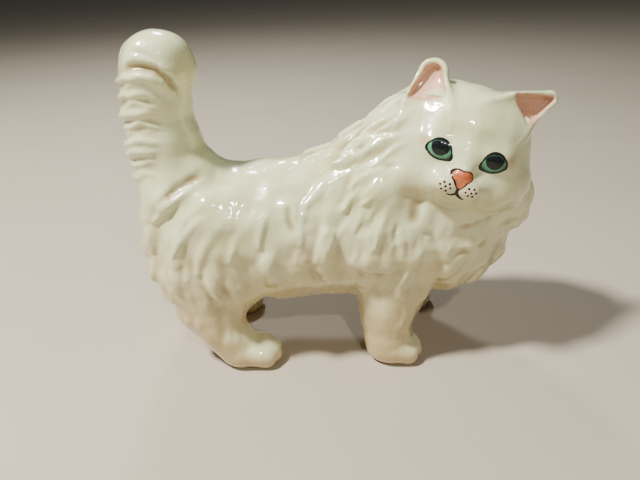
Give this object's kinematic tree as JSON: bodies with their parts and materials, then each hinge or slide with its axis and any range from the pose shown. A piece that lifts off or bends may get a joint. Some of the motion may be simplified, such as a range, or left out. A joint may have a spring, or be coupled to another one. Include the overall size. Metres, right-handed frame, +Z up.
{
  "type": "ceramic cat figurine",
  "caption": "Glossy cream-white long-haired cat figurine standing on its paws, bushy tail erect, head turned to the side, with green painted eyes.",
  "frame": {"origin": "on the surface that the cat stands on, under the middle of its overall box", "axes": "+X the way the body faces, from tail to chest; +Y the cat's left; +Z up. The face looks towards -Y."},
  "size_m": [0.1538, 0.0612, 0.1269],
  "materials": {
    "glazed_body": "clear gloss glaze over cream-white earthenware",
    "ear_colour": "salmon-pink underglaze colour, glossy",
    "nose_colour": "orange-pink enamel, glossy",
    "iris_enamel": "green enamel, glossy",
    "black_enamel": "black enamel, glossy",
    "line_enamel": "dark brown-black enamel line work"
  },
  "bodies": {
    "root": {"torso": "glazed_body", "head": "glazed_body", "tail": "glazed_body", "front_right_leg": "glazed_body", "front_left_leg": "glazed_body", "rear_right_leg": "glazed_body", "rear_left_leg": "glazed_body", "right_ear": "glazed_body", "left_ear": "glazed_body", "right_inner_ear": "ear_colour", "left_inner_ear": "ear_colour", "right_eye_rim": "black_enamel", "left_eye_rim": "black_enamel", "right_iris": "iris_enamel", "left_iris": "iris_enamel", "right_pupil": "black_enamel", "left_pupil": "black_enamel", "nose": "nose_colour", "nose_mouth_line": "line_enamel", "right_whisker_dots": "line_enamel", "left_whisker_dots": "line_enamel"}
  },
  "joints": []
}
